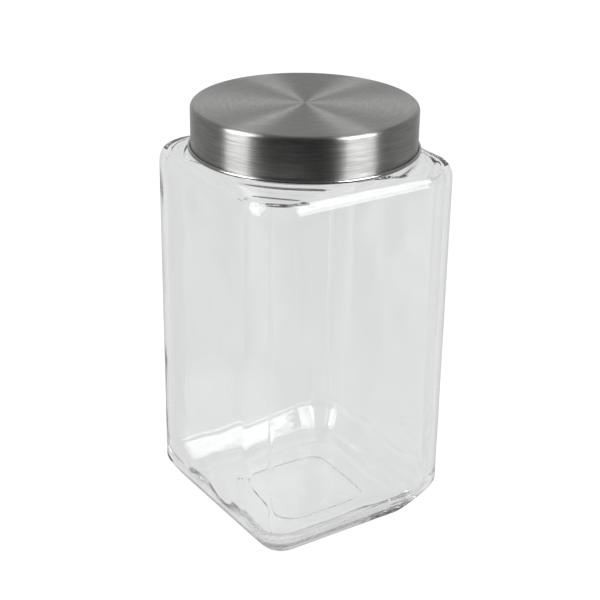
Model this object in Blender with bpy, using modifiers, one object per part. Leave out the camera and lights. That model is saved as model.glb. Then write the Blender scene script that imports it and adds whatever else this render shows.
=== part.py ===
"""Square glass storage jar with a screw-on stainless steel lid.

The jar is one piece of moulded glass: a foot with a pushed-up underside, a heel that flares out
to a ridge, four flat walls with round corners, a shoulder and a round threaded neck. The lid is
a drawn steel shell with a rolled edge, over a plastic insert that has the thread in it, with a
foam liner that seals on the neck's rim.

Frame: metres, +Z up, origin at the centre of the foot, the jar's flat walls facing X and Y.
"""

import math

import bmesh
import bpy
from mathutils import Vector

MM = 0.001
GAP = 0.3 * MM  # left between neighbouring pieces

# Jar body
WALL_HALF = 57.4 * MM  # half the width across two flat walls
WALL_CORNER = 21.5 * MM  # radius of the upright corners
WALL_THICKNESS = 3.6 * MM
FOOT_HALF = 42.1 * MM
FOOT_CORNER = 10.0 * MM
FOOT_ROUND = 2.0 * MM  # rounding between the foot's flat and the heel
HEEL_TOP = 19.8 * MM  # height of the ridge where the heel meets the walls
HEEL_BULGE = 0.17  # how far the heel swells out of a straight slope, as a share of its width
HEEL_STEPS = 4
PUSH_UP_HALF = 30.0 * MM  # inner edge of the foot's flat ring
PUSH_UP_HEIGHT = 1.2 * MM
PUSH_UP_LEVEL = 0.35  # share of the push-up, round its middle, that is level
PUSH_UP_STEPS = 5
SHOULDER_Z = 192.2 * MM
SHOULDER_INSET = 2.9 * MM
SHOULDER_DROP = 7.5 * MM  # height of the rounding between wall and shoulder
SHOULDER_STEPS = 4

# The inside of the jar
INNER_CORNER_LESS = 3.0 * MM  # how much tighter the inside's upright corners are
ROOF_Z = 188.9 * MM  # top of the rounding between the inside wall and the roof
ROOF_INSET = 2.4 * MM
ROOF_DROP = 5.9 * MM
BORE_FOOT_Z = 195.0 * MM  # bottom of the straight bore
BORE_FLARE = 1.6 * MM  # how far the bore opens out where it meets the roof
BORE_FLARE_HEIGHT = 2.9 * MM
INNER_WALL_FOOT_Z = 24.0 * MM
HEEL_THICKNESS = 3.9 * MM  # measured level
INNER_HEEL_TOP = 18.5 * MM
INNER_HEEL_FOOT = 10.2 * MM
INNER_HEEL_STEPS = 2
FLOOR_Z = 8.4 * MM  # the inside floor at its middle
FLOOR_LOW_Z = 7.4 * MM  # and over the foot's ring
FLOOR_LOW_HALF = 36.0 * MM

# Jar neck
NECK_RADIUS = 50.9 * MM
NECK_ROOT_Z = 197.0 * MM
NECK_ROOT_ROUND = 1.8 * MM
BORE_RADIUS = 47.0 * MM
RIM_Z = 214.4 * MM
RIM_ROUND = 1.5 * MM

# Screw thread, of the same lead on the neck and in the insert
THREAD_STARTS = 4
THREAD_LEAD = 16.0 * MM
NECK_THREAD_FIRST = math.radians(18.5)  # direction in which the neck's first start begins
INSERT_THREAD_FIRST = math.radians(21.5)  # and the insert's, further up the same helix
THREAD_ARC = math.radians(130)  # length of each start
THREAD_STEPS = 17
THREAD_RUN_OUT = math.radians(18)  # over which a ridge sinks into its wall
THREAD_END = 0.35  # a ridge's size at its very end, as a share of its full size
NECK_RIDGE = 0.95 * MM  # radius of the rounded ridge's section
NECK_RIDGE_CENTRE = 51.45 * MM
NECK_THREAD_Z = 200.6 * MM  # height at which each start begins
INSERT_RIDGE = 0.8 * MM
INSERT_RIDGE_CENTRE = 52.5 * MM
RIDGE_OFFSET = 1.8 * MM  # how far the insert's ridges run below the neck's
RIDGE_SINK = 1.15 * MM  # how far a ridge's end moves into its wall

# Lid
LID_RADIUS = 55.0 * MM
LID_TOP_Z = 218.2 * MM
LID_EDGE_ROUND = 2.0 * MM
SHEET = 0.5 * MM
CURL_RADIUS = 0.85 * MM
CURL_OUTER = 56.5 * MM
CURL_Z = 196.9 * MM
INSERT_WALL = 1.2 * MM
INSERT_BOTTOM_Z = 196.6 * MM
INSERT_ROUND = 1.3 * MM
LIP_DEPTH = 0.9 * MM  # the lip that holds the liner in the insert
LIP_Z = 213.9 * MM
LINER_RADIUS = 52.4 * MM
LINER_THICKNESS = 1.2 * MM

# Facets
TURN_STEPS = 64
CORNER_SEGMENTS = 8
FLAT_SEGMENTS = 8
ARC_STEPS = 3
MERGE = 0.00001


def clear_scene():
    """Removes every object, so that the script can be run again."""
    for old in list(bpy.data.objects):
        bpy.data.objects.remove(old, do_unlink=True)


def new_collection(name):
    """A collection linked to the scene."""
    collection = bpy.data.collections.new(name)
    bpy.context.scene.collection.children.link(collection)
    return collection


def new_material(name, colour, roughness, metallic=0.0, transmission=0.0):
    """A Principled material of one colour."""
    material = bpy.data.materials.new(name)
    material.use_nodes = True
    shader = material.node_tree.nodes["Principled BSDF"]
    shader.inputs["Base Color"].default_value = (*colour, 1.0)
    shader.inputs["Roughness"].default_value = roughness
    shader.inputs["Metallic"].default_value = metallic
    shader.inputs["Transmission Weight"].default_value = transmission
    return material


def add_object(name, mesh, collection, material=None):
    """An object at the origin, shaded smooth apart from its sharp edges."""
    mesh.shade_smooth()
    mesh.set_sharp_from_angle(angle=math.radians(35))
    made = bpy.data.objects.new(name, mesh)
    collection.objects.link(made)
    if material is not None:
        mesh.materials.append(material)
    return made


def arc_points(centre_x, centre_z, radius, start, end, steps=ARC_STEPS):
    """Points (x, z) along an arc, from one angle to another in degrees."""
    points = []
    for step in range(steps + 1):
        angle = math.radians(start + (end - start) * step / steps)
        points.append((centre_x + radius * math.cos(angle), centre_z + radius * math.sin(angle)))
    return points


# Rounded-square sections


def section_reach(angle, half, corner):
    """Distance from the centre of a rounded square to its edge, in one direction."""
    turned = abs((angle + math.pi / 4) % (math.pi / 2) - math.pi / 4)
    straight = half - corner
    flat_reach = half / math.cos(turned)
    if flat_reach * math.sin(turned) <= straight:
        return flat_reach
    along = straight * (math.cos(turned) + math.sin(turned))
    across = straight * (math.cos(turned) - math.sin(turned))
    return along + math.sqrt(max(corner**2 - across**2, 0.0))


def section_angles():
    """Directions of the jar's upright lines of points, closer together at the corners."""
    corner_start = math.atan2(WALL_HALF - WALL_CORNER, WALL_HALF)
    corner_turn = math.pi / 2 - 2 * corner_start
    angles = []
    for quarter in range(4):
        base = quarter * math.pi / 2
        for step in range(FLAT_SEGMENTS):
            angles.append(base - corner_start + 2 * corner_start * step / FLAT_SEGMENTS)
        for step in range(CORNER_SEGMENTS):
            angles.append(base + corner_start + corner_turn * step / CORNER_SEGMENTS)
    return angles


def loft(name, sections, collection, material):
    """A closed skin over rounded-square sections (half, corner, z), capped at both ends.

    The sections change from square to round, so neighbouring ones are joined point to point,
    each to the one in the same direction.
    """
    form = bmesh.new()
    rings = []
    for half, corner, z in sections:
        ring = []
        for angle in section_angles():
            reach = section_reach(angle, half, corner)
            ring.append(form.verts.new((reach * math.cos(angle), reach * math.sin(angle), z)))
        rings.append(ring)
    for lower, upper in zip(rings, rings[1:]):
        for index in range(len(lower)):
            after = (index + 1) % len(lower)
            form.faces.new((lower[index], lower[after], upper[after], upper[index]))
    for ring in (rings[0], rings[-1]):
        cap = form.faces.new(ring)
        bmesh.ops.poke(form, faces=[cap])
    bmesh.ops.recalc_face_normals(form, faces=form.faces)
    mesh = bpy.data.meshes.new(name)
    form.to_mesh(mesh)
    form.free()
    return add_object(name, mesh, collection, material)


# The glass jar


def heel_half(share):
    """Half the jar's width on the heel, at a share of the way down from the ridge."""
    drop = share + HEEL_BULGE * share * (share - 1)
    return WALL_HALF - (WALL_HALF - FOOT_HALF) * drop


def push_up(half):
    """How far the bottom is pushed up, as a share of its height, at a half width."""
    fall = (half / PUSH_UP_HALF - PUSH_UP_LEVEL) / (1 - PUSH_UP_LEVEL)
    return (1 + math.cos(math.pi * min(max(fall, 0.0), 1.0))) / 2


def outer_sections():
    """Sections of the outside, from the middle of the underside up to the neck's root."""
    sections = []
    for step in range(PUSH_UP_STEPS + 1):
        share = PUSH_UP_LEVEL + (1 - PUSH_UP_LEVEL) * step / PUSH_UP_STEPS
        half = PUSH_UP_HALF * share
        sections.append((half, FOOT_CORNER * share, PUSH_UP_HEIGHT * push_up(half)))
    slope = math.degrees(math.atan2(HEEL_TOP, WALL_HALF - FOOT_HALF))
    foot_edge = FOOT_HALF - FOOT_ROUND * math.tan(math.radians(slope / 2))
    for half, z in arc_points(foot_edge, FOOT_ROUND, FOOT_ROUND, -90, slope - 90, 3):
        sections.append((half, FOOT_CORNER, z))
    for step in range(HEEL_STEPS - 1, -1, -1):
        share = step / HEEL_STEPS
        corner = WALL_CORNER + (FOOT_CORNER - WALL_CORNER) * share
        sections.append((heel_half(share), corner, HEEL_TOP * (1 - share)))
    wall_top = SHOULDER_Z - SHOULDER_DROP
    sections.append((WALL_HALF, WALL_CORNER, wall_top))
    for step in range(1, SHOULDER_STEPS + 1):
        turn = math.pi / 2 * step / SHOULDER_STEPS
        inset = SHOULDER_INSET * (1 - math.cos(turn))
        sections.append((WALL_HALF - inset, WALL_CORNER, wall_top + SHOULDER_DROP * math.sin(turn)))
    return sections


def neck_sections():
    """Round sections of the neck: up the outside, over the rim and down the bore."""
    points = arc_points(
        NECK_RADIUS + NECK_ROOT_ROUND, NECK_ROOT_Z, NECK_ROOT_ROUND, 245, 180
    )
    points += arc_points(NECK_RADIUS - RIM_ROUND, RIM_Z - RIM_ROUND, RIM_ROUND, 0, 90)
    points += arc_points(BORE_RADIUS + RIM_ROUND, RIM_Z - RIM_ROUND, RIM_ROUND, 90, 180)
    return [(radius, radius, z) for radius, z in points]


def inner_shoulder_sections():
    """Sections of the inside, from the bottom of the bore down to the top of the walls."""
    half = WALL_HALF - WALL_THICKNESS
    corner = WALL_CORNER - INNER_CORNER_LESS
    sections = []
    for step in range(ARC_STEPS + 1):
        turn = math.pi / 2 * step / ARC_STEPS
        radius = BORE_RADIUS + BORE_FLARE * (1 - math.cos(turn))
        sections.append((radius, radius, BORE_FOOT_Z - BORE_FLARE_HEIGHT * math.sin(turn)))
    for step in range(SHOULDER_STEPS, -1, -1):
        turn = math.pi / 2 * step / SHOULDER_STEPS
        inset = ROOF_INSET * (1 - math.cos(turn))
        sections.append((half - inset, corner, ROOF_Z - ROOF_DROP * (1 - math.sin(turn))))
    return sections


def inner_floor_sections():
    """Sections of the inside, from the foot of the walls down to the middle of the floor."""
    half = WALL_HALF - WALL_THICKNESS
    sections = [(half, WALL_CORNER - INNER_CORNER_LESS, INNER_WALL_FOOT_Z)]
    for step in range(INNER_HEEL_STEPS + 1):
        z = INNER_HEEL_TOP + (INNER_HEEL_FOOT - INNER_HEEL_TOP) * step / INNER_HEEL_STEPS
        share = 1 - z / HEEL_TOP
        corner = WALL_CORNER + (FOOT_CORNER - WALL_CORNER) * share - INNER_CORNER_LESS
        sections.append((heel_half(share) - HEEL_THICKNESS, corner, z))
    heel_foot, corner, z = sections[-1]
    for share in (0.25, 0.6, 1.0):
        out = heel_foot + (FLOOR_LOW_HALF - heel_foot) * share
        sections.append((out, corner, z + (FLOOR_LOW_Z - z) * math.sin(math.pi / 2 * share)))
    for share in (0.8, 0.6, 0.4, 0.2):
        out = FLOOR_LOW_HALF * share
        level = FLOOR_LOW_Z + (FLOOR_Z - FLOOR_LOW_Z) * push_up(out)
        sections.append((out, corner * share, level))
    return sections


def thread_height(direction):
    """Height of the neck's first ridge in one direction."""
    return NECK_THREAD_Z + THREAD_LEAD * (direction - NECK_THREAD_FIRST) / (2 * math.pi)


def thread_ridges(name, direction, drop, ridge, centre, sink, cutters):
    """One mesh of all the starts of a thread, as round-backed helical ridges.

    The first one begins in the direction given, and runs below the neck's ridge by drop.

    Towards its ends each ridge gets thinner and moves radially by sink, into its wall.
    """
    curve = bpy.data.curves.new(name, "CURVE")
    curve.dimensions = "3D"
    curve.bevel_depth = ridge
    curve.bevel_resolution = 2
    curve.use_fill_caps = True
    for start in range(THREAD_STARTS):
        spline = curve.splines.new("POLY")
        spline.points.add(THREAD_STEPS)
        first = direction + 2 * math.pi * start / THREAD_STARTS
        for step, point in enumerate(spline.points):
            turn = THREAD_ARC * step / THREAD_STEPS
            from_end = min(turn, THREAD_ARC - turn)
            fullness = math.sin(min(from_end / THREAD_RUN_OUT, 1.0) * math.pi / 2)
            radius = centre + sink * (1 - fullness)
            height = thread_height(direction + turn) - drop
            angle = first + turn
            point.co = (radius * math.cos(angle), radius * math.sin(angle), height, 1.0)
            point.radius = THREAD_END + (1 - THREAD_END) * fullness
    drawn = bpy.data.objects.new(name, curve)
    cutters.objects.link(drawn)
    evaluated = drawn.evaluated_get(bpy.context.evaluated_depsgraph_get())
    mesh = bpy.data.meshes.new_from_object(evaluated)
    form = bmesh.new()
    form.from_mesh(mesh)
    bmesh.ops.remove_doubles(form, verts=form.verts, dist=MERGE)
    bmesh.ops.recalc_face_normals(form, faces=form.faces)
    form.to_mesh(mesh)
    form.free()
    made = add_object(name + "_ridges", mesh, cutters)
    made.matrix_world = drawn.matrix_world
    made.hide_render = True
    made.display_type = "WIRE"
    bpy.data.objects.remove(drawn, do_unlink=True)
    return made


def join_ridges(piece, ridges):
    """Unites thread ridges with the wall that they stand on."""
    union = piece.modifiers.new("Thread", "BOOLEAN")
    union.operation = "UNION"
    union.solver = "EXACT"
    union.object = ridges


def make_jar(collection, cutters):
    """The moulded glass, with its thread."""
    glass = new_material("glass", (0.93, 0.95, 0.94), 0.02, transmission=1.0)
    sections = outer_sections() + neck_sections()
    sections += inner_shoulder_sections() + inner_floor_sections()
    jar = loft("glass_jar", sections, collection, glass)
    ridges = thread_ridges(
        "neck_thread",
        NECK_THREAD_FIRST,
        0.0,
        NECK_RIDGE,
        NECK_RIDGE_CENTRE,
        -RIDGE_SINK,
        cutters,
    )
    join_ridges(jar, ridges)
    return jar


# The lid


def turned(name, profile, collection, material):
    """A solid turned from a profile of (x, z) points that starts and ends on the axis."""
    form = bmesh.new()
    verts = [form.verts.new((x, 0.0, z)) for x, z in profile]
    for first, second in zip(verts, verts[1:]):
        form.edges.new((first, second))
    mesh = bpy.data.meshes.new(name)
    form.to_mesh(mesh)
    form.free()
    made = add_object(name, mesh, collection, material)
    screw = made.modifiers.new("Turn", "SCREW")
    screw.steps = TURN_STEPS
    screw.render_steps = TURN_STEPS
    screw.use_merge_vertices = True
    screw.merge_threshold = MERGE
    screw.use_smooth_shade = True
    return made


def make_shell(collection):
    """The drawn steel shell, whose lower edge is rolled outwards into a bead."""
    steel = new_material("brushed_steel", (0.62, 0.62, 0.61), 0.28, metallic=1.0)
    inside = LID_RADIUS - SHEET
    curl_x = CURL_OUTER - CURL_RADIUS
    curl_start = math.degrees(math.acos((LID_RADIUS - curl_x) / CURL_RADIUS))
    profile = [(0.0, LID_TOP_Z)]
    profile += arc_points(
        LID_RADIUS - LID_EDGE_ROUND, LID_TOP_Z - LID_EDGE_ROUND, LID_EDGE_ROUND, 90, 0
    )
    profile += arc_points(curl_x, CURL_Z, CURL_RADIUS, curl_start, -150, 6)
    profile.append((inside, CURL_Z))
    inner_round = LID_EDGE_ROUND - SHEET
    profile += arc_points(
        inside - inner_round, LID_TOP_Z - LID_EDGE_ROUND, inner_round, 0, 90
    )
    profile.append((0.0, LID_TOP_Z - SHEET))
    return turned("lid_shell", profile, collection, steel)


def make_insert(collection, cutters):
    """The plastic insert: a cap inside the shell, with the thread and the liner's lip."""
    plastic = new_material("white_plastic", (0.85, 0.85, 0.83), 0.45)
    outside = LID_RADIUS - SHEET - GAP
    inside = outside - INSERT_WALL
    top = LID_TOP_Z - SHEET - GAP
    under = top - INSERT_WALL
    edge = GAP  # small chamfers round the open end
    profile = [(0.0, top)]
    profile += arc_points(outside - INSERT_ROUND, top - INSERT_ROUND, INSERT_ROUND, 90, 0)
    profile += [
        (outside, INSERT_BOTTOM_Z + edge),
        (outside - edge, INSERT_BOTTOM_Z),
        (inside + edge, INSERT_BOTTOM_Z),
        (inside, INSERT_BOTTOM_Z + edge),
        (inside, LIP_Z - LIP_DEPTH),
        (inside - LIP_DEPTH, LIP_Z),
        (inside - LIP_DEPTH, LIP_Z + LIP_DEPTH / 2),
        (inside, LIP_Z + LIP_DEPTH),
        (inside, under),
        (0.0, under),
    ]
    insert = turned("lid_thread_insert", profile, collection, plastic)
    ridges = thread_ridges(
        "insert_thread",
        INSERT_THREAD_FIRST,
        RIDGE_OFFSET,
        INSERT_RIDGE,
        INSERT_RIDGE_CENTRE,
        RIDGE_SINK,
        cutters,
    )
    join_ridges(insert, ridges)
    return insert


def make_liner(collection):
    """The foam liner, a disc held in the insert above its lip."""
    foam = new_material("foam", (0.88, 0.88, 0.86), 0.85)
    top = LID_TOP_Z - SHEET - GAP - INSERT_WALL - GAP
    profile = [
        (0.0, top),
        (LINER_RADIUS, top),
        (LINER_RADIUS, top - LINER_THICKNESS),
        (0.0, top - LINER_THICKNESS),
    ]
    return turned("seal_liner", profile, collection, foam)


def main():
    clear_scene()
    collection = new_collection("glass_storage_jar")
    cutters = new_collection("cutters")
    make_jar(collection, cutters)
    lid = bpy.data.objects.new("lid_axis", None)
    lid.location = Vector((0.0, 0.0, CURL_Z))
    collection.objects.link(lid)
    bpy.context.view_layer.update()
    for piece in (make_shell(collection), make_insert(collection, cutters), make_liner(collection)):
        piece.parent = lid
        piece.matrix_parent_inverse = lid.matrix_world.inverted()


main()
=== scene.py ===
# %% [markdown]
# # A square glass storage jar with a brushed steel screw lid
#
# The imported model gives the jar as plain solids: the glass, the lid's steel shell, its threaded
# plastic insert and the foam liner. This lesson keeps their places and sizes, and makes the
# surfaces that the eye sees: clear moulded glass with a slightly wavy inside, steel brushed in
# circles, and the plastic and foam that show when the lid is off.
#
# Everything is in metres. The jar stands on z = 0 with its flat walls facing X and Y.

# %% Tools and the frame
import math

import bmesh
import bpy
from mathutils import Matrix, Vector, noise


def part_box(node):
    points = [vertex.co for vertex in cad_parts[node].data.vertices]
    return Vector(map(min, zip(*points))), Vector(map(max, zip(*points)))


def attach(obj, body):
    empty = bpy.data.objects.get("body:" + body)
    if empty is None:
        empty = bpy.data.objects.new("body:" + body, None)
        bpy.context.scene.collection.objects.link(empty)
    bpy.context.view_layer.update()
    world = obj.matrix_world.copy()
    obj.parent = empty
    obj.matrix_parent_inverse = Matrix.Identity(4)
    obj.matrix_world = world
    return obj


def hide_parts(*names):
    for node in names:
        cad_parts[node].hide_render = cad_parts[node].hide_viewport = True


MM = 0.001
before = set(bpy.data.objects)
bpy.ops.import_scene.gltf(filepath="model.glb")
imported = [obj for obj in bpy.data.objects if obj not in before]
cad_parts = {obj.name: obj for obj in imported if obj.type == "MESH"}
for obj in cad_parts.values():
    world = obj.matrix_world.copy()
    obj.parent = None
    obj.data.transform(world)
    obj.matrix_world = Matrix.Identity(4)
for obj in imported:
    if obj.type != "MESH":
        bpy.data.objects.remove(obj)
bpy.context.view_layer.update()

# %% [markdown]
# ## Sizes
#
# The pieces are measured on the frame, so that the new surfaces fit where the solids were. What
# a box can't tell, such as a wall's thickness or a radius of rounding, is named where it is
# first needed.

# %% Sizes read from the frame
_, jar_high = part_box("glass_jar")
shell_low, shell_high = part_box("lid_shell")
insert_low, insert_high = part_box("lid_thread_insert")
liner_low, liner_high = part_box("seal_liner")

WALL_HALF = jar_high[0]
RIM_Z = jar_high[2]
LID_TOP = shell_high[2]
CURL_OUTER = shell_high[0]
CURL_BOTTOM = shell_low[2]
INSERT_RADIUS = insert_high[0]
INSERT_TOP = insert_high[2]
INSERT_BOTTOM = insert_low[2]
LINER_RADIUS = liner_high[0]
print("half width", round(WALL_HALF, 4), "rim", round(RIM_Z, 4), "lid top", round(LID_TOP, 4))

# %% [markdown]
# ## The set
#
# The jar stands on a pale floor in front of a white sweep, between two tall soft lights, one to
# the left and one to the right of the lens. Brushed steel shows each light as a bright band down
# its side and a ray across its top, and glass shows them as highlights along its shoulder. The
# space round the lens stays dark, as it does in a studio, so the steel between the bands is dark.

# %% Directions round the jar
VIEW_AZIMUTH = math.radians(-33.88)
VIEW_ELEVATION = math.radians(24.18)


def around(azimuth, elevation, distance):
    """A place at an azimuth from -Y towards +X, an elevation and a distance from the origin."""
    flat = math.cos(elevation) * distance
    return Vector(
        (math.sin(azimuth) * flat, -math.cos(azimuth) * flat, math.sin(elevation) * distance)
    )


def look_from(place, target, roll=0.0):
    """A matrix for a lamp or a camera at place that looks at target, along its own -Z."""
    turn = (target - place).to_track_quat("-Z", "Y").to_matrix().to_4x4()
    return Matrix.Translation(place) @ turn @ Matrix.Rotation(roll, 4, "Z")


# %% [markdown]
# A long lens from under a metre away keeps the jar's upright edges nearly parallel. The jar is
# seen from above and from a little beside one corner, so two walls show unequally.
#
# A ray that enters thick glass is bent and mirrored many times before it leaves. With Blender's
# usual limit of 12 bounces many rays end inside the glass and leave black lines, so the limits
# are raised here until those lines are gone.

# %% The camera
AIM = Vector((-0.0008, 0.0006, 0.1147))
CAMERA_DISTANCE = 0.7302
CAMERA_ROLL = 0.015
BOUNCES = 32
GLOSSY_BOUNCES = 24

camera_data = bpy.data.cameras.new("camera")
camera_data.lens = 86.44
camera_data.sensor_width = 36.0
camera_data.clip_start = 0.01
camera = bpy.data.objects.new("camera", camera_data)
camera_place = AIM + around(VIEW_AZIMUTH, VIEW_ELEVATION, CAMERA_DISTANCE)
camera.matrix_world = look_from(camera_place, AIM, roll=CAMERA_ROLL)
bpy.context.scene.collection.objects.link(camera)
bpy.context.scene.camera = camera
bpy.context.scene.view_settings.view_transform = "Standard"
bpy.context.scene.cycles.max_bounces = BOUNCES
bpy.context.scene.cycles.glossy_bounces = GLOSSY_BOUNCES
bpy.context.scene.cycles.transmission_bounces = BOUNCES
print("camera at", [round(value, 3) for value in camera.matrix_world.translation])

# %% [markdown]
# The two soft lights are tall rectangles that face the jar. They are hidden from the lens, but
# the steel and the glass mirror them. The right one is wider and a little brighter over its
# area, and so is the band that it leaves on the steel.

# %% Soft lights
LIGHT_TARGET = Vector((0.0, 0.0, 0.15))
LIGHT_ELEVATION = 24.0
LIGHT_DISTANCE = 0.9


def soft_light(name, azimuth, width, height, power):
    """A tall rectangular soft light that faces the jar. Azimuths are counted from the lens."""
    data = bpy.data.lights.new(name, "AREA")
    data.shape = "RECTANGLE"
    data.size = width
    data.size_y = height
    data.energy = power
    lamp = bpy.data.objects.new(name, data)
    direction = VIEW_AZIMUTH + math.radians(azimuth)
    offset = around(direction, math.radians(LIGHT_ELEVATION), LIGHT_DISTANCE)
    lamp.matrix_world = look_from(LIGHT_TARGET + offset, LIGHT_TARGET)
    lamp.visible_camera = False
    bpy.context.scene.collection.objects.link(lamp)
    print(name, "radiance", round(power / (math.pi * width * height), 2))


soft_light("left_softbox", azimuth=-67.0, width=0.43, height=0.80, power=4.8)
soft_light("right_softbox", azimuth=55.0, width=0.52, height=0.68, power=5.8)

# %% [markdown]
# ## Node helpers
#
# The world and every finish are small networks of nodes. These helpers add one node at a time,
# and set its inputs by name or number, to a plain value or to another node's output.

# %% Helpers for nodes


def set_inputs(tree, node, inputs):
    """Sets a node's inputs, each to a value or to another node's output."""
    for name, source in inputs.items():
        if isinstance(source, bpy.types.NodeSocket):
            tree.links.new(source, node.inputs[name])
        else:
            node.inputs[name].default_value = source


def add_node(tree, kind, inputs, **settings):
    """A new node with its settings and inputs."""
    made = tree.nodes.new(kind)
    for name, value in settings.items():
        setattr(made, name, value)
    set_inputs(tree, made, inputs)
    return made


def ramp(tree, source, stops):
    """A colour for each value of source, from (position, colour) stops."""
    made = add_node(tree, "ShaderNodeValToRGB", {"Fac": source})
    elements = made.color_ramp.elements
    while len(elements) < len(stops):
        elements.new(0.5)
    for element, (position, colour) in zip(elements, stops):
        element.position = position
        element.color = (*colour, 1.0)
    return made.outputs["Color"]


def spread(tree, source, low, high, **ends):
    """Spreads source from low to high, from 0 to 1 unless other ends are given."""
    inputs = {"Value": source, "To Min": low, "To Max": high}
    for name, value in ends.items():
        inputs[name.replace("_", " ").title()] = value
    return add_node(tree, "ShaderNodeMapRange", inputs).outputs["Result"]


# %% [markdown]
# The set has three backgrounds. The lens and matt surfaces see white. What shines through is a
# softer, greyer white, darkest towards the lens, so that the thick edges of clear glass show as
# grey lines. What steel and glass mirror is a studio's mix of greys, dark round the lens. A Light
# Path node tells the three apart. It is only in the world: the materials have none.
#
# The two grey ones are rows of greys by how far a ray points towards the lens, from -1 for
# straight away from it to 1 for straight at it. The mirrored row counts from the lens's level
# direction, and the other from its own line. A slow noise makes that other one a little uneven.

# %% World
MIRRORED_GREYS = ((-1.0, 0.54), (-0.76, 0.27), (-0.1, 0.19), (0.5, 0.05), (1.0, 0.02))
GREYS_THROUGH_GLASS = (
    (-1.0, 0.86),
    (-0.75, 0.86),
    (-0.4, 0.68),
    (0.0, 0.50),
    (0.5, 0.46),
    (1.0, 0.66),
)
MOTTLE_SCALE = 6.0

world = bpy.data.worlds.new("studio")
bpy.context.scene.world = world
world.use_nodes = True
world_tree = world.node_tree
world_tree.nodes.clear()
ray = world_tree.nodes.new("ShaderNodeTexCoord").outputs["Generated"]
paths = world_tree.nodes.new("ShaderNodeLightPath")


def greys_towards(direction, greys):
    """Greys by how far a ray points towards a direction."""
    facing = add_node(
        world_tree, "ShaderNodeVectorMath", {0: ray, 1: direction}, operation="DOT_PRODUCT"
    )
    share = add_node(
        world_tree, "ShaderNodeMapRange", {"Value": facing.outputs["Value"], "From Min": -1.0}
    )
    stops = [((towards + 1) / 2, (grey, grey, grey)) for towards, grey in greys]
    return ramp(world_tree, share.outputs["Result"], stops)


def choose(when, otherwise, chosen):
    """One of two colours, by one of the Light Path node's outputs."""
    inputs = {"Factor": paths.outputs[when], "A": otherwise, "B": chosen}
    return add_node(world_tree, "ShaderNodeMix", inputs, data_type="RGBA").outputs["Result"]


# %% Light the world
WHITE = (1.0, 1.0, 1.0, 1.0)
mirrored = greys_towards(around(VIEW_AZIMUTH, 0.0, 1.0), MIRRORED_GREYS)
through = greys_towards(around(VIEW_AZIMUTH, VIEW_ELEVATION, 1.0), GREYS_THROUGH_GLASS)
mottle = add_node(
    world_tree, "ShaderNodeTexNoise", {"Scale": MOTTLE_SCALE, "Detail": 2.0, "Vector": ray}
)
uneven = spread(world_tree, mottle.outputs["Fac"], 0.93, 1.05, from_min=0.3, from_max=0.7)
mottled = add_node(
    world_tree, "ShaderNodeVectorMath", {"Vector": through, "Scale": uneven}, operation="SCALE"
)
seen = choose("Is Glossy Ray", WHITE, mirrored)
seen = choose("Is Transmission Ray", seen, mottled.outputs["Vector"])
backdrop = add_node(world_tree, "ShaderNodeBackground", {"Color": seen})
surface = backdrop.outputs["Background"]
add_node(world_tree, "ShaderNodeOutputWorld", {"Surface": surface})
print("world nodes:", len(world_tree.nodes))

# %% [markdown]
# ## The floor
#
# A matt sheet six metres wide, half a millimetre under the jar. It glows by itself, nearly as
# bright as the white sweep, so that no edge shows between them. Mirrored rays and rays through
# the glass pass it by and meet the background instead.

# %% Floor
FLOOR_HALF = 3.0
FLOOR_DROP = 0.5 * MM


def new_mesh_object(name, form):
    """Turns a finished bmesh into an object at the origin, shaded smooth."""
    mesh = bpy.data.meshes.new(name)
    form.to_mesh(mesh)
    form.free()
    mesh.shade_smooth()
    made = bpy.data.objects.new(name, mesh)
    bpy.context.scene.collection.objects.link(made)
    print(name, len(mesh.polygons), "faces")
    return made


def new_look(name, **inputs):
    """A new material and its node tree, with its shader's own values set by name."""
    look = bpy.data.materials.new(name)
    look.use_nodes = True
    values = {key.replace("_", " "): value for key, value in inputs.items()}
    set_inputs(look.node_tree, look.node_tree.nodes["Principled BSDF"], values)
    return look, look.node_tree


floor_form = bmesh.new()
bmesh.ops.create_grid(floor_form, x_segments=1, y_segments=1, size=FLOOR_HALF)
floor = new_mesh_object("floor", floor_form)
floor.location.z = -FLOOR_DROP
paint, _ = new_look(
    "floor_paint",
    Base_Color=(0.12, 0.12, 0.12, 1.0),
    Roughness=1.0,
    Specular_IOR_Level=0.0,
    Emission_Color=WHITE,
    Emission_Strength=0.92,
)
floor.data.materials.append(paint)
floor.visible_glossy = False
floor.visible_transmission = False

# %% [markdown]
# ## Rounded squares
#
# Every level section of the glass is a rounded square, and a circle is one whose corner radius
# equals its half width. Each ring of points is grown from the one below with an extrusion of its
# edges, and then every new point is moved out or in along its own direction until it lies on the
# next section. So the skin runs from foot to rim in one piece, and no seam or twist can come in.
#
# The points start on a circle and are crowded towards the corners, where the surface turns most.

# %% Sections
RING_POINTS = 256
CROWDING = 0.17


def section_reach(angle, half, corner):
    """Distance from the axis to a rounded square's edge, in one direction."""
    turned = abs((angle + math.pi / 4) % (math.pi / 2) - math.pi / 4)
    straight = half - corner
    reach = half / math.cos(turned)
    if reach * math.sin(turned) <= straight:
        return reach
    along = straight * (math.cos(turned) + math.sin(turned))
    across = straight * (math.cos(turned) - math.sin(turned))
    return along + math.sqrt(max(corner * corner - across * across, 0.0))


def arc(centre_x, centre_z, radius, start, end, steps):
    """Points (x, z) along an arc from one angle to another, in degrees."""
    points = []
    for step in range(steps + 1):
        angle = math.radians(start + (end - start) * step / steps)
        points.append((centre_x + radius * math.cos(angle), centre_z + radius * math.sin(angle)))
    return points


def shares(count):
    """Equal steps from just over 0 to 1."""
    return [(step + 1) / count for step in range(count)]


def clamp(value):
    """The value, kept between 0 and 1."""
    return min(max(value, 0.0), 1.0)


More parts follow.
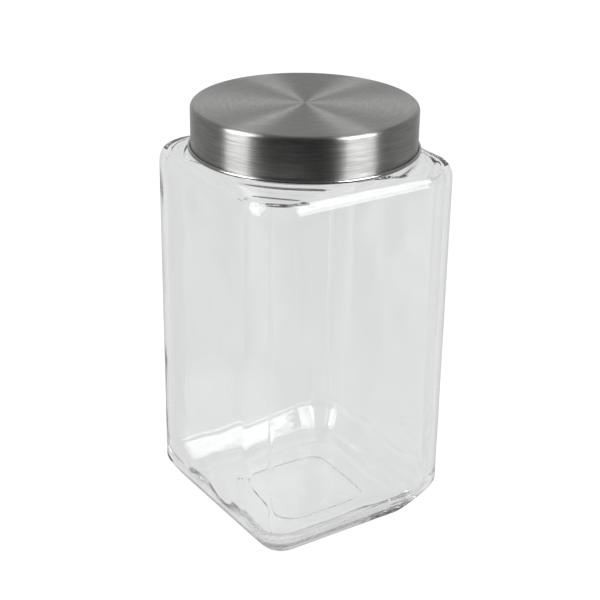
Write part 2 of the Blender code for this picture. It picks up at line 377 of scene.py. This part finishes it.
# %% Rings that grow out of each other
def first_ring(form, half, corner, z):
    """The ring that a skin grows from. Returns its edges."""
    bmesh.ops.create_circle(form, segments=RING_POINTS, radius=half)
    for vert in form.verts:
        angle = math.atan2(vert.co.y, vert.co.x)
        angle += CROWDING * math.sin(4 * angle)
        reach = section_reach(angle, half, corner)
        vert.co = (reach * math.cos(angle), reach * math.sin(angle), z)
    return list(form.edges)


def grow_ring(form, edges, section, shape=None, lift=None):
    """Extrudes a ring's edges to the next section, a (half width, corner radius, z).

    shape(angle, z) adds to the reach, and lift(angle, reach) to the height.
    """
    half, corner, z = section
    grown = bmesh.ops.extrude_edge_only(form, edges=edges)["geom"]
    for vert in grown:
        if isinstance(vert, bmesh.types.BMVert):
            angle = math.atan2(vert.co.y, vert.co.x)
            reach = section_reach(angle, half, corner)
            if shape is not None:
                reach += shape(angle, z)
            rise = 0.0 if lift is None else lift(angle, reach)
            vert.co = (reach * math.cos(angle), reach * math.sin(angle), z + rise)
    return [edge for edge in grown if isinstance(edge, bmesh.types.BMEdge)]


def close_ring(form, edges, z):
    """Draws a ring together into one point on the axis."""
    verts = list({vert for edge in edges for vert in edge.verts})
    bmesh.ops.pointmerge(form, verts=verts, merge_co=Vector((0.0, 0.0, z)))


# %% [markdown]
# ## The underside
#
# The underside is pushed up inside a flat ring, so that the jar doesn't rock. The bottom of the
# mould is a separate plug, and the joint round it leaves a small step in the glass. Seen through
# the clear bottom the step is a fine rounded square, so it is part of the shape here and not a
# line in the finish. The rows are close together, because it is only a few millimetres wide.

# %% Underside sections, from the middle out
FOOT_CORNER = 10.0 * MM
PUSH_UP_HALF = 30.0 * MM
PUSH_UP_HEIGHT = 1.2 * MM
PUSH_UP_LEVEL = 0.35
PLUG_HALF = 24.0 * MM
PLUG_CORNER = 6.0 * MM
PLUG_STEP = 0.5 * MM
PLUG_STEP_WIDTH = 3.2 * MM
UNDERSIDE_ROWS = 48


def push_up(share):
    """The push-up's height as a share, at a share of the way out to the foot's ring."""
    fall = clamp((share - PUSH_UP_LEVEL) / (1 - PUSH_UP_LEVEL))
    return (1 + math.cos(math.pi * fall)) / 2


def underside_sections():
    """Level in the middle, then a smooth fall to the ring that the jar stands on."""
    sections = []
    for share in shares(UNDERSIDE_ROWS):
        half = PUSH_UP_HALF * share
        past = clamp((half - PLUG_HALF) / PLUG_STEP_WIDTH)
        step = PLUG_STEP * (1 - math.cos(2 * math.pi * past)) / 2
        rounder = PLUG_CORNER * math.sin(math.pi * share)
        corner = FOOT_CORNER * share + rounder
        sections.append((half, min(corner, half), PUSH_UP_HEIGHT * push_up(share) + step))
    return sections


# %% [markdown]
# ## The heel
#
# From its rounded foot the heel slopes out to a ridge. A straight slope would look cut with a
# knife, so it swells outwards a little between its ends, and a short curve rounds the ridge.

# %% Heel sections, from the foot's ring up to the walls
WALL_CORNER = 21.5 * MM
FOOT_HALF = 42.1 * MM
FOOT_ROUND = 2.0 * MM
FOOT_RING_WIDTH = 5.0 * MM
HEEL_TOP = 19.8 * MM
HEEL_BULGE = 0.17
RIDGE_ROUND = 1.6 * MM
RIDGE_CORNER_LESS = 0.9 * MM
FOOT_ROWS = 7
HEEL_ROWS = 12
RIDGE_ROWS = 6


def heel_half(share):
    """Half the width at a share of the way down from the ridge to the foot."""
    drop = share + HEEL_BULGE * share * (share - 1)
    return WALL_HALF - (WALL_HALF - FOOT_HALF) * drop


def heel_corner(share):
    """The corner's radius at a share of the way down from the ridge to the foot."""
    return WALL_CORNER + (FOOT_CORNER - WALL_CORNER) * share


def foot_sections():
    """The ring that the jar stands on, and the rounded edge round it."""
    slope = math.degrees(math.atan2(HEEL_TOP, WALL_HALF - FOOT_HALF))
    foot_edge = FOOT_HALF - FOOT_ROUND * math.tan(math.radians(slope / 2))
    edge = arc(foot_edge, FOOT_ROUND, FOOT_ROUND, -90, slope - 90, FOOT_ROWS)
    ring = [(PUSH_UP_HALF + FOOT_RING_WIDTH, FOOT_CORNER, 0.0)]
    return ring + [(half, FOOT_CORNER, z) for half, z in edge]


def heel_sections():
    """The slope, and the curve round the ridge."""
    sections = foot_sections()
    start = 1 - sections[-1][2] / HEEL_TOP
    end = RIDGE_ROUND / HEEL_TOP
    for step in shares(HEEL_ROWS):
        share = start + (end - start) * step
        sections.append((heel_half(share), heel_corner(share), HEEL_TOP * (1 - share)))
    low_half, _, low_z = sections[-1]
    for share in shares(RIDGE_ROWS):
        half = low_half * (1 - share) ** 2 + WALL_HALF * (1 - (1 - share) ** 2)
        z = low_z + (HEEL_TOP + RIDGE_ROUND - low_z) * share
        sections.append((half, WALL_CORNER - (1 - share) * RIDGE_CORNER_LESS, z))
    return sections


# %% [markdown]
# ## Walls, shoulder and the root of the neck
#
# The walls are plain. The shoulder is a quarter of an ellipse that draws in over the last few
# millimetres, and then the rounded square turns into a circle on its way to the neck's root.

# %% Wall and shoulder sections
SHOULDER_Z = 192.2 * MM
SHOULDER_INSET = 2.9 * MM
SHOULDER_DROP = 7.5 * MM
NECK_RADIUS = 50.9 * MM
NECK_ROOT = 197.0 * MM
NECK_ROOT_ROUND = 1.8 * MM
WALL_TOP = SHOULDER_Z - SHOULDER_DROP
SHOULDER_ROWS = 12
SLOPE_ROWS = 9
SLOPE_SWELL = 1.25
ROOT_ROWS = 7


def straight_sections(low, high, half, corner, count):
    """Sections of one size, from low to high."""
    return [(half, corner, low + (high - low) * share) for share in shares(count)]


def shoulder_sections():
    """The rounded shoulder, the slope to the neck and the fillet at its root."""
    sections = []
    for share in shares(SHOULDER_ROWS):
        turn = math.pi / 2 * share
        inset = SHOULDER_INSET * (1 - math.cos(turn))
        z = WALL_TOP + SHOULDER_DROP * math.sin(turn)
        sections.append((WALL_HALF - inset, WALL_CORNER, z))
    top_half, _, top_z = sections[-1]
    root = arc(NECK_RADIUS + NECK_ROOT_ROUND, NECK_ROOT, NECK_ROOT_ROUND, 245, 180, ROOT_ROWS)
    root_radius, root_z = root[0]
    for share in shares(SLOPE_ROWS)[:-1]:
        half = top_half + (root_radius - top_half) * share
        corner = WALL_CORNER + (root_radius - WALL_CORNER) * share
        z = top_z + (root_z - top_z) * share**SLOPE_SWELL
        sections.append((half, min(corner, half), z))
    return sections + [(radius, radius, z) for radius, z in root]


# %% [markdown]
# ## The thread
#
# Four short ridges climb round the neck, each about a third of a turn long, and four on the
# inside of the lid's insert run under them. A ridge is a round bar half sunk in the wall: at
# each point it stands proud by the bar's height there, and it fades out at both ends. Moving
# the wall's own points keeps the ridge and the wall one skin, as moulded glass is.

# %% Thread ridges
THREAD_STARTS = 4
THREAD_LEAD = 16.0 * MM
THREAD_ARC = math.radians(130)
THREAD_RUN_OUT = math.radians(18)
NECK_THREAD_FIRST = math.radians(18.5)
NECK_THREAD_Z = 200.6 * MM
NECK_RIDGE = 0.95 * MM
NECK_RIDGE_CENTRE = 51.45 * MM


def ridge_height(angle, z, first, drop, ridge, centre, wall, sign):
    """How far a thread's ridge stands proud of its wall at one point. sign is 1 for outwards."""
    best = 0.0
    for start in range(THREAD_STARTS):
        turn = (angle - first - 2 * math.pi * start / THREAD_STARTS) % (2 * math.pi)
        if turn > THREAD_ARC:
            continue
        from_end = min(turn, THREAD_ARC - turn) / THREAD_RUN_OUT
        full = math.sin(min(from_end, 1.0) * math.pi / 2)
        along = first - NECK_THREAD_FIRST + turn
        middle = NECK_THREAD_Z - drop + THREAD_LEAD * along / (2 * math.pi)
        off = abs(z - middle)
        if off < ridge:
            reach = sign * (centre - wall) + math.sqrt(ridge * ridge - off * off)
            best = max(best, reach * full)
    return best


def neck_thread(angle, z):
    """The ridges on the neck."""
    return ridge_height(
        angle, z, NECK_THREAD_FIRST, 0.0, NECK_RIDGE, NECK_RIDGE_CENTRE, NECK_RADIUS, 1
    )


# %% [markdown]
# ## Waves in the glass
#
# Moulded glass is never quite even. The outside took the mould's shape, so it hardly waves. The
# inside cooled free, so its distance from the outside wanders by some tenths of a millimetre
# over a few centimetres, and by more low in the jar, where the glass is thickest. That is what
# bends the light behind it, more than anything else does.
#
# The jar is blown in a mould of two halves that part through two opposite corners, which leaves
# a fine raised line down each of them. It is only three points wide here.

# %% Waves
WAVE_SEED = Vector((3.1, 7.7, 1.3))
SEAM_HEIGHT = 0.22 * MM
SEAM_HALF = math.radians(0.6)
STILL_FOOT = 3.0 * MM
FULL_WAVES_AFTER = 10.0 * MM
INNER_HEEL_TOP = 18.5 * MM
LOW_WAVES_FADE = 12.0 * MM


def wave(angle, z, size, height):
    """A smooth wander of the skin. size is its length across, height is how far it goes."""
    place = Vector((math.cos(angle), math.sin(angle), 0.0)) * WALL_HALF
    place.z = z
    return height * noise.noise(place / size + WAVE_SEED)


def seam(angle):
    """The parting line's height, on two opposite corners."""
    across = abs((angle - math.pi / 4 + math.pi / 2) % math.pi - math.pi / 2)
    return SEAM_HEIGHT * max(0.0, 1 - across / SEAM_HALF)


def outside_shape(angle, z):
    """The outside's waves and its parting line, which fade out before the foot."""
    fade = clamp((z - STILL_FOOT) / FULL_WAVES_AFTER)
    return (seam(angle) + wave(angle, z, 45 * MM, 0.05 * MM)) * fade


def inside_shape(angle, z):
    """The inside's waves: broad ones, fine ones, and strong ones low down.

    Each kind is read a metre further up the noise, so that the three don't look alike.
    """
    low = math.exp(-max(z - INNER_HEEL_TOP, 0.0) / LOW_WAVES_FADE)
    broad = wave(angle, z, 26 * MM, 0.35 * MM)
    fine = wave(angle, z + 1.0, 11 * MM, 0.06 * MM)
    return broad + fine + low * wave(angle, z + 2.0, 19 * MM, 0.9 * MM)


# %% [markdown]
# ## The inside of the glass
#
# The inside follows the outside at a wall's distance, and the bottom is thicker. A few stops
# give its shape. A smooth curve runs through them, because a kink in glass shows as a hard line.

# %% A smooth curve through stops


def curve_value(before, low, high, after, share):
    """The value on a Catmull-Rom curve between low and high."""
    slope = high - before
    bend = 2 * before - 5 * low + 4 * high - after
    twist = -before + 3 * low - 3 * high + after
    return low + share * (slope + share * (bend + share * twist)) / 2


def blend_sections(stops, steps):
    """Sections on a smooth curve through the stops."""
    sections = []
    for index in range(len(stops) - 1):
        before = stops[max(index - 1, 0)]
        after = stops[min(index + 2, len(stops) - 1)]
        four = (before, stops[index], stops[index + 1], after)
        for share in shares(steps):
            half, corner, z = (curve_value(*values, share) for values in zip(*four))
            sections.append((half, min(corner, half), z))
    return sections


# %% Stops from the bore, out under the shoulder, and round into the walls
WALL_THICKNESS = 3.6 * MM
INNER_HALF = WALL_HALF - WALL_THICKNESS
INNER_CORNER_LESS = 3.0 * MM
INNER_CORNER = WALL_CORNER - INNER_CORNER_LESS
BORE_RADIUS = 47.0 * MM
BORE_FOOT_Z = 195.0 * MM
BORE_FLARE = 1.6 * MM
BORE_FLARE_HEIGHT = 2.9 * MM
BORE_LEAD_IN = 1.5 * MM
ROOF_Z = 188.9 * MM
ROOF_INSET = 2.4 * MM
ROOF_DROP = 5.9 * MM


def inner_shoulder_stops():
    """The bore's flared foot, the roof and the rounding into the walls."""
    stops = [(BORE_RADIUS, BORE_RADIUS, BORE_FOOT_Z + BORE_LEAD_IN)]
    for turn in (0, 30, 60, 85):
        radius = BORE_RADIUS + BORE_FLARE * (1 - math.cos(math.radians(turn)))
        fall = BORE_FLARE_HEIGHT * math.sin(math.radians(turn))
        stops.append((radius, radius, BORE_FOOT_Z - fall))
    radius, _, low = stops[-1]
    for share in (0.2, 0.4, 0.6, 0.8):
        half = radius + (INNER_HALF - ROOF_INSET - radius) * share
        corner = radius + (INNER_CORNER - radius) * share
        stops.append((half, corner, low + (ROOF_Z - low) * share))
    for turn in (75, 50, 25, 0):
        inset = ROOF_INSET * (1 - math.cos(math.radians(turn)))
        drop = ROOF_DROP * (1 - math.sin(math.radians(turn)))
        stops.append((INNER_HALF - inset, INNER_CORNER, ROOF_Z - drop))
    return stops


# %% Stops from the walls, down the inside of the heel, and over the floor to its middle
INNER_WALL_FOOT_Z = 24.0 * MM
INNER_WALL_LOW = INNER_WALL_FOOT_Z + 3.0 * MM
WALL_TURN_IN = 0.35 * MM
WALL_TURN_DROP = 2.0 * MM
HEEL_THICKNESS = 3.9 * MM
INNER_HEEL_FOOT = 10.2 * MM
FLOOR_Z = 8.4 * MM
FLOOR_LOW_Z = 7.4 * MM
FLOOR_LOW_HALF = 36.0 * MM


def inner_floor_stops():
    """The foot of the walls, the inside of the heel, the dip round the floor and its middle."""
    stops = [(INNER_HALF, INNER_CORNER, INNER_WALL_LOW)]
    turn_in = INNER_HALF - WALL_TURN_IN
    stops.append((turn_in, INNER_CORNER, INNER_WALL_FOOT_Z - WALL_TURN_DROP))
    for share in (0.0, 0.5, 1.0):
        z = INNER_HEEL_TOP + (INNER_HEEL_FOOT - INNER_HEEL_TOP) * share
        down = 1 - z / HEEL_TOP
        corner = heel_corner(down) - INNER_CORNER_LESS
        stops.append((heel_half(down) - HEEL_THICKNESS, corner, z))
    heel_foot, corner, z = stops[-1]
    for share in (0.25, 0.6, 1.0):
        out = heel_foot + (FLOOR_LOW_HALF - heel_foot) * share
        stops.append((out, corner, z + (FLOOR_LOW_Z - z) * math.sin(math.pi / 2 * share)))
    for share in (0.88, 0.76, 0.64, 0.52, 0.4, 0.25, 0.1):
        half = FLOOR_LOW_HALF * share
        rise = (FLOOR_Z - FLOOR_LOW_Z) * push_up(half / PUSH_UP_HALF)
        stops.append((half, corner * share, FLOOR_LOW_Z + rise))
    return stops


# %% [markdown]
# Where the mould pinched the hot glass between body and neck, the roof keeps low rings round
# the bore. Light from under the lid breaks up on them into dark and pale streaks. They are
# stretched noise: three millimetres or so apart going outwards, and long going round.

# %% Rings on the roof
RING_PITCH = 3.1 * MM
RING_HEIGHT = 0.48 * MM
RING_TURNS = 1.6
RING_FADE = 2


def flow_rings(angle, reach):
    """How far the rings lift the roof. They start gently outside the bore."""
    out = (reach - BORE_RADIUS) / RING_PITCH
    around_axis = (RING_TURNS * math.cos(angle), RING_TURNS * math.sin(angle))
    return RING_HEIGHT * clamp(out / RING_FADE) * noise.noise(Vector((*around_axis, out)))


# %% [markdown]
# ## Growing the glass
#
# One skin, in the order in which a finger would run over it: out from the middle of the
# underside, up the heel and the walls, over the shoulder, up the neck and its thread, over the
# rim, down the bore, under the roof, down the inside and across the floor. The two end rings
# are then drawn together on the axis, which makes the skin one closed body.

# %% The outside
WALL_ROWS = 22
THREAD_ROWS = 56
under = underside_sections()
outside = under[1:] + heel_sections()
outside += straight_sections(
    HEEL_TOP + RIDGE_ROUND, WALL_TOP, WALL_HALF, WALL_CORNER, WALL_ROWS
)
outside += shoulder_sections()

glass_form = bmesh.new()
bottom_ring = first_ring(glass_form, *under[0])
ring = bottom_ring
for section in outside:
    ring = grow_ring(glass_form, ring, section, outside_shape)
print("outside:", len(glass_form.faces), "faces")

# %% The neck and the rim
RIM_ROUND = 1.5 * MM
RIM_ROWS = 6
rim_z = RIM_Z - RIM_ROUND
for section in straight_sections(NECK_ROOT, rim_z, NECK_RADIUS, NECK_RADIUS, THREAD_ROWS):
    ring = grow_ring(glass_form, ring, section, neck_thread)
rim = arc(NECK_RADIUS - RIM_ROUND, rim_z, RIM_ROUND, 0, 90, RIM_ROWS)[1:]
rim += arc(BORE_RADIUS + RIM_ROUND, rim_z, RIM_ROUND, 90, 180, RIM_ROWS)
for radius, z in rim:
    ring = grow_ring(glass_form, ring, (radius, radius, z))
print("with the neck:", len(glass_form.faces), "faces")

# %% The inside
ROOF_STEPS = 5
INNER_WALL_ROWS = 44
FLOOR_STEPS = 4
inner_walls = straight_sections(
    ROOF_Z - ROOF_DROP, INNER_WALL_LOW, INNER_HALF, INNER_CORNER, INNER_WALL_ROWS
)
for section in blend_sections(inner_shoulder_stops(), ROOF_STEPS):
    lift = flow_rings if section[2] > ROOF_Z - MM else None
    ring = grow_ring(glass_form, ring, section, None, lift)
for section in inner_walls + blend_sections(inner_floor_stops(), FLOOR_STEPS):
    ring = grow_ring(glass_form, ring, section, inside_shape)
close_ring(glass_form, ring, FLOOR_Z)
close_ring(glass_form, bottom_ring, PUSH_UP_HEIGHT)
bmesh.ops.recalc_face_normals(glass_form, faces=glass_form.faces)
glass = new_mesh_object("jar_glass", glass_form)

# %% [markdown]
# ## The look of the glass
#
# Clear soda-lime glass lets nearly all light through, with the faintest grey. Its roughness is
# zero, and what makes it look real is the shape above, the bounces, and a very shallow ripple.
# A bump gives the ripple, because it is too low for the points to carry smoothly.

# %% Helpers for finishes


def soft_noise(tree, place, scale, detail):
    """Soft random values over the object."""
    inputs = {"Scale": scale, "Detail": detail, "Vector": place}
    return add_node(tree, "ShaderNodeTexNoise", inputs).outputs["Fac"]


def bumps(tree, height, strength, distance, invert=False):
    """A surface direction that tilts with a height."""
    inputs = {"Strength": strength, "Distance": distance, "Height": height}
    return add_node(tree, "ShaderNodeBump", inputs, invert=invert).outputs["Normal"]


def object_place(tree):
    """The place on the object, from its own origin."""
    return tree.nodes.new("ShaderNodeTexCoord").outputs["Object"]


def finish_look(tree, **inputs):
    """Sets the shader's inputs by name."""
    values = {key.replace("_", " "): value for key, value in inputs.items()}
    set_inputs(tree, tree.nodes["Principled BSDF"], values)
    print(len(tree.nodes), "nodes")


# %% Glass material
glass_look, tree = new_look(
    "moulded_glass",
    Base_Color=(0.965, 0.97, 0.97, 1.0),
    Roughness=0.0,
    IOR=1.5,
    Transmission_Weight=1.0,
)
ripple = soft_noise(tree, object_place(tree), 55.0, 1.5)
finish_look(tree, Normal=bumps(tree, ripple, 0.15, 0.3 * MM))
glass.data.materials.append(glass_look)
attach(glass, "jar")
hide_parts("glass_jar")

# %% [markdown]
# ## The lid's shell
#
# The shell is drawn from half-millimetre sheet. Its lower edge is rolled outwards into a bead,
# which stiffens it and hides the cut edge. A turned piece is a profile spun round the axis. The
# profile here is the sheet's middle line, given its thickness on both sides.

# %% Turned pieces
TURN_STEPS = 256
WELD = 0.01 * MM


def offset_line(line, distance):
    """The line moved sideways by distance, to the left of its run."""
    moved = []
    for index, (x, z) in enumerate(line):
        before = line[max(index - 1, 0)]
        after = line[min(index + 1, len(line) - 1)]
        run = Vector((after[0] - before[0], after[1] - before[1])).normalized()
        moved.append((max(x - run.y * distance, 0.0), z + run.x * distance))
    return moved


def spin_profile(profile):
    """A closed skin from an outline of (x, z) points, spun round the Z axis."""
    form = bmesh.new()
    verts = [form.verts.new((x, 0.0, z)) for x, z in profile]
    edges = [form.edges.new(pair) for pair in zip(verts, verts[1:])]
    bmesh.ops.spin(
        form,
        geom=verts + edges,
        cent=(0.0, 0.0, 0.0),
        axis=(0.0, 0.0, 1.0),
        angle=2 * math.pi,
        steps=TURN_STEPS,
        use_merge=True,
    )
    bmesh.ops.remove_doubles(form, verts=form.verts, dist=WELD)
    bmesh.ops.recalc_face_normals(form, faces=form.faces)
    return form


# %% The sheet's middle line, from the axis out, down the side and round the bead
LID_RADIUS = 55.0 * MM
SHEET = 0.5 * MM
LID_EDGE = 2.0 * MM
AXIS_DISC = 2.0 * MM
CURL_TURN = 275
CURL_LEAD = 0.1 * MM
TOP_PARTS = 12
EDGE_ROWS = 10
SKIRT_ROWS = 8
CURL_ROWS = 18

skirt_x = LID_RADIUS - SHEET / 2
curl_radius = (CURL_OUTER - SHEET / 2 - skirt_x) / 2
curl_z = CURL_BOTTOM + SHEET / 2 + curl_radius
top_z = LID_TOP - SHEET / 2
edge_round = LID_EDGE - SHEET / 2
skirt_high = top_z - edge_round
skirt_low = curl_z + CURL_LEAD

middle_line = [(0.0, top_z), (AXIS_DISC, top_z)]
middle_line += [(skirt_x * share, top_z) for share in shares(TOP_PARTS)[:-1]]
middle_line += arc(skirt_x - edge_round, skirt_high, edge_round, 90, 0, EDGE_ROWS)
drop = skirt_low - skirt_high
middle_line += [(skirt_x, skirt_high + drop * share) for share in shares(SKIRT_ROWS)]
middle_line += arc(skirt_x + curl_radius, curl_z, curl_radius, 180, 180 + CURL_TURN, CURL_ROWS)
print("bead", round((2 * curl_radius + SHEET) / MM, 2), "mm across")

# %% Shell
outer = offset_line(middle_line, SHEET / 2)
inner = offset_line(middle_line, -SHEET / 2)
shell = new_mesh_object("steel_shell", spin_profile(outer + inner[::-1]))
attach(shell, "lid")
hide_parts("lid_shell")

# %% [markdown]
# ## Brushed steel
#
# The lid was brushed while it turned, so its grooves are circles on the top and level lines
# round the side. A noise that changes fast outwards and upwards, and slowly going round, draws
# both: it reads the distance from the axis and the height at a large scale, and the direction
# round the axis at a small one. The grooves set how pale and how rough the steel is.
#
# Each groove is far too fine to model, but all together they smear a light across their run.
# The shader's anisotropy does that, and its tangent turns round the lid with the grooves.

# %% Steel material
GROOVE_SCALE = 2300.0
ROUND_SCALE = 6.0


def scaled(tree, source, factor):
    """A value times a factor."""
    made = add_node(tree, "ShaderNodeMath", {0: source, 1: factor}, operation="MULTIPLY")
    return made.outputs["Value"]


def groove_noise(tree):
    """Random values that follow circles on the top and level lines on the side."""
    split = add_node(tree, "ShaderNodeSeparateXYZ", {0: object_place(tree)}).outputs
    level = {"X": split["X"], "Y": split["Y"]}
    flat = add_node(tree, "ShaderNodeCombineXYZ", level).outputs["Vector"]
    radius = add_node(tree, "ShaderNodeVectorMath", {0: flat}, operation="LENGTH")
    unit = add_node(tree, "ShaderNodeVectorMath", {0: flat}, operation="NORMALIZE")
    facing = add_node(tree, "ShaderNodeSeparateXYZ", {0: unit.outputs["Vector"]}).outputs
    across = {
        "X": scaled(tree, radius.outputs["Value"], GROOVE_SCALE),
        "Y": scaled(tree, facing["X"], ROUND_SCALE),
        "Z": scaled(tree, facing["Y"], ROUND_SCALE),
    }
    inputs = {
        "Scale": 1.0,
        "Detail": 3.0,
        "Vector": add_node(tree, "ShaderNodeCombineXYZ", across).outputs["Vector"],
        "W": scaled(tree, split["Z"], GROOVE_SCALE),
    }
    return add_node(tree, "ShaderNodeTexNoise", inputs, noise_dimensions="4D").outputs["Fac"]


steel, tree = new_look(
    "circular_brushed_steel", Metallic=1.0, Anisotropic=0.95, Anisotropic_Rotation=0.25
)
grooves = groove_noise(tree)
tangent = add_node(tree, "ShaderNodeTangent", {}, direction_type="RADIAL", axis="Z")
finish_look(
    tree,
    Base_Color=ramp(tree, grooves, ((0.3, (0.45, 0.45, 0.44)), (0.7, (0.70, 0.70, 0.69)))),
    Roughness=spread(tree, grooves, 0.26, 0.40),
    Tangent=tangent.outputs["Tangent"],
)
shell.data.materials.append(steel)

# %% [markdown]
# The rolled bead isn't brushed: rolling burnishes it, so it shines more than the side above it.
# Fine scratches still run along it. They come from noise that is squeezed in height.

# %% Bead material
BEAD_SIDE = 0.1 * MM
SCRATCH_SCALE = (60.0, 60.0, 6000.0)

bead, tree = new_look("burnished_bead", Metallic=1.0, Base_Color=(0.66, 0.66, 0.65, 1.0))
stretched = {"Scale": SCRATCH_SCALE, "Vector": object_place(tree)}
squeezed = add_node(tree, "ShaderNodeMapping", stretched).outputs["Vector"]
scratches = soft_noise(tree, squeezed, 1.0, 3.0)
finish_look(tree, Roughness=spread(tree, scratches, 0.08, 0.24))
shell.data.materials.append(bead)

bead_edge = LID_RADIUS + BEAD_SIDE
bead_top = curl_z + curl_radius + SHEET
for face in shell.data.polygons:
    reach = math.hypot(face.center.x, face.center.y)
    rolled = reach > bead_edge or face.center.z < curl_z
    face.material_index = 1 if rolled and face.center.z < bead_top else 0
print("bead faces:", sum(face.material_index for face in shell.data.polygons))

# %% [markdown]
# ## The insert
#
# Steel sheet this thin can't hold a coarse thread, so a moulded polypropylene cap is pressed
# into the shell. Its ridges run under the neck's, and a small lip near its top keeps the liner
# from falling out. It is a turned profile too. Its inner wall has many rows of points, which
# are then pushed in where the thread is.

# %% Insert profile
INSERT_WALL = 1.2 * MM
INSERT_ROUND = 1.3 * MM
INSERT_CHAMFER = 0.3 * MM
INSERT_DISC = 3.0 * MM
INSERT_LIP = 0.9 * MM
INSERT_LIP_Z = 213.9 * MM
INSERT_EDGE_ROWS = 6
INSERT_THREAD_ROWS = 60

inside = INSERT_RADIUS - INSERT_WALL
plate = INSERT_TOP - INSERT_WALL
corner_x = INSERT_RADIUS - INSERT_ROUND
thread_low = INSERT_BOTTOM + INSERT_CHAMFER
thread_high = INSERT_LIP_Z - INSERT_LIP
thread_rise = thread_high - thread_low
insert_profile = [(0.0, INSERT_TOP), (INSERT_DISC, INSERT_TOP)]
insert_profile += arc(
    corner_x, INSERT_TOP - INSERT_ROUND, INSERT_ROUND, 90, 0, INSERT_EDGE_ROWS
)
insert_profile += [
    (INSERT_RADIUS, thread_low),
    (INSERT_RADIUS - INSERT_CHAMFER, INSERT_BOTTOM),
    (inside + INSERT_CHAMFER, INSERT_BOTTOM),
    (inside, thread_low),
]
insert_profile += [
    (inside, thread_low + thread_rise * share) for share in shares(INSERT_THREAD_ROWS)
]
insert_profile += [
    (inside - INSERT_LIP, INSERT_LIP_Z),
    (inside - INSERT_LIP, INSERT_LIP_Z + INSERT_LIP / 2),
    (inside, INSERT_LIP_Z + INSERT_LIP),
    (inside, plate),
    (INSERT_DISC, plate),
    (0.0, plate),
]
print("insert profile:", len(insert_profile), "points")

# %% Insert and its thread
INSERT_THREAD_FIRST = math.radians(21.5)
INSERT_RIDGE = 0.8 * MM
INSERT_RIDGE_CENTRE = 52.5 * MM
RIDGE_OFFSET = 1.8 * MM


def insert_thread(angle, z):
    """How far the insert's ridges move its inner wall, inwards."""
    first, drop = INSERT_THREAD_FIRST, RIDGE_OFFSET
    return -ridge_height(angle, z, first, drop, INSERT_RIDGE, INSERT_RIDGE_CENTRE, inside, -1)


insert_form = spin_profile(insert_profile)
for vert in insert_form.verts:
    reach = math.hypot(vert.co.x, vert.co.y)
    if abs(reach - inside) < WELD and thread_low < vert.co.z < thread_high:
        angle = math.atan2(vert.co.y, vert.co.x)
        reach += insert_thread(angle, vert.co.z)
        vert.co.x = reach * math.cos(angle)
        vert.co.y = reach * math.sin(angle)
insert = new_mesh_object("plastic_insert", insert_form)
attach(insert, "lid")
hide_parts("lid_thread_insert")

# %% [markdown]
# Moulded polypropylene is a slightly milky white. Its tone drifts a little where the melt
# flowed, and the mould's fine grain makes its gloss uneven.

# %% Plastic material
plastic, tree = new_look("white_polypropylene", IOR=1.49)
place = object_place(tree)
flow = soft_noise(tree, place, 90.0, 3.0)
grain = soft_noise(tree, place, 2200.0, 2.0)
finish_look(
    tree,
    Base_Color=ramp(tree, flow, ((0.35, (0.80, 0.80, 0.775)), (0.65, (0.86, 0.86, 0.845)))),
    Roughness=spread(tree, grain, 0.34, 0.52),
    Normal=bumps(tree, grain, 0.25, 0.03 * MM),
)
insert.data.materials.append(plastic)

# %% [markdown]
# ## The liner
#
# A disc of closed-cell foam is punched from sheet and lies behind the insert's lip. The neck's
# rim presses into it and seals. Its cells are a third of a millimetre or so wide, drawn by a
# Voronoi pattern: each cell is high in its middle and low at its walls. Its colour is paler in
# the middle and darker towards the walls, which is painted shade in the low lines between cells.

# %% Liner
LINER_EDGE = 0.2 * MM
liner_top = liner_high[2]
liner_bottom = liner_low[2]
liner_profile = [
    (0.0, liner_top),
    (LINER_RADIUS - LINER_EDGE, liner_top),
    (LINER_RADIUS, liner_top - LINER_EDGE),
    (LINER_RADIUS, liner_bottom + LINER_EDGE),
    (LINER_RADIUS - LINER_EDGE, liner_bottom),
    (0.0, liner_bottom),
]
liner = new_mesh_object("foam_liner", spin_profile(liner_profile))
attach(liner, "seal")
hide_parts("seal_liner")

# %% Foam material
foam, tree = new_look("closed_cell_foam", Specular_IOR_Level=0.3)
voronoi = {"Scale": 2600.0, "Vector": object_place(tree)}
cells = add_node(tree, "ShaderNodeTexVoronoi", voronoi, feature="F1").outputs["Distance"]
# The colour darkens towards each cell's low walls: painted shade in the grooves between cells.
finish_look(
    tree,
    Base_Color=ramp(tree, cells, ((0.0, (0.88, 0.88, 0.86)), (0.8, (0.76, 0.76, 0.74)))),
    Roughness=spread(tree, cells, 0.7, 0.9),
    Normal=bumps(tree, cells, 0.6, 0.1 * MM, invert=True),
)
liner.data.materials.append(foam)
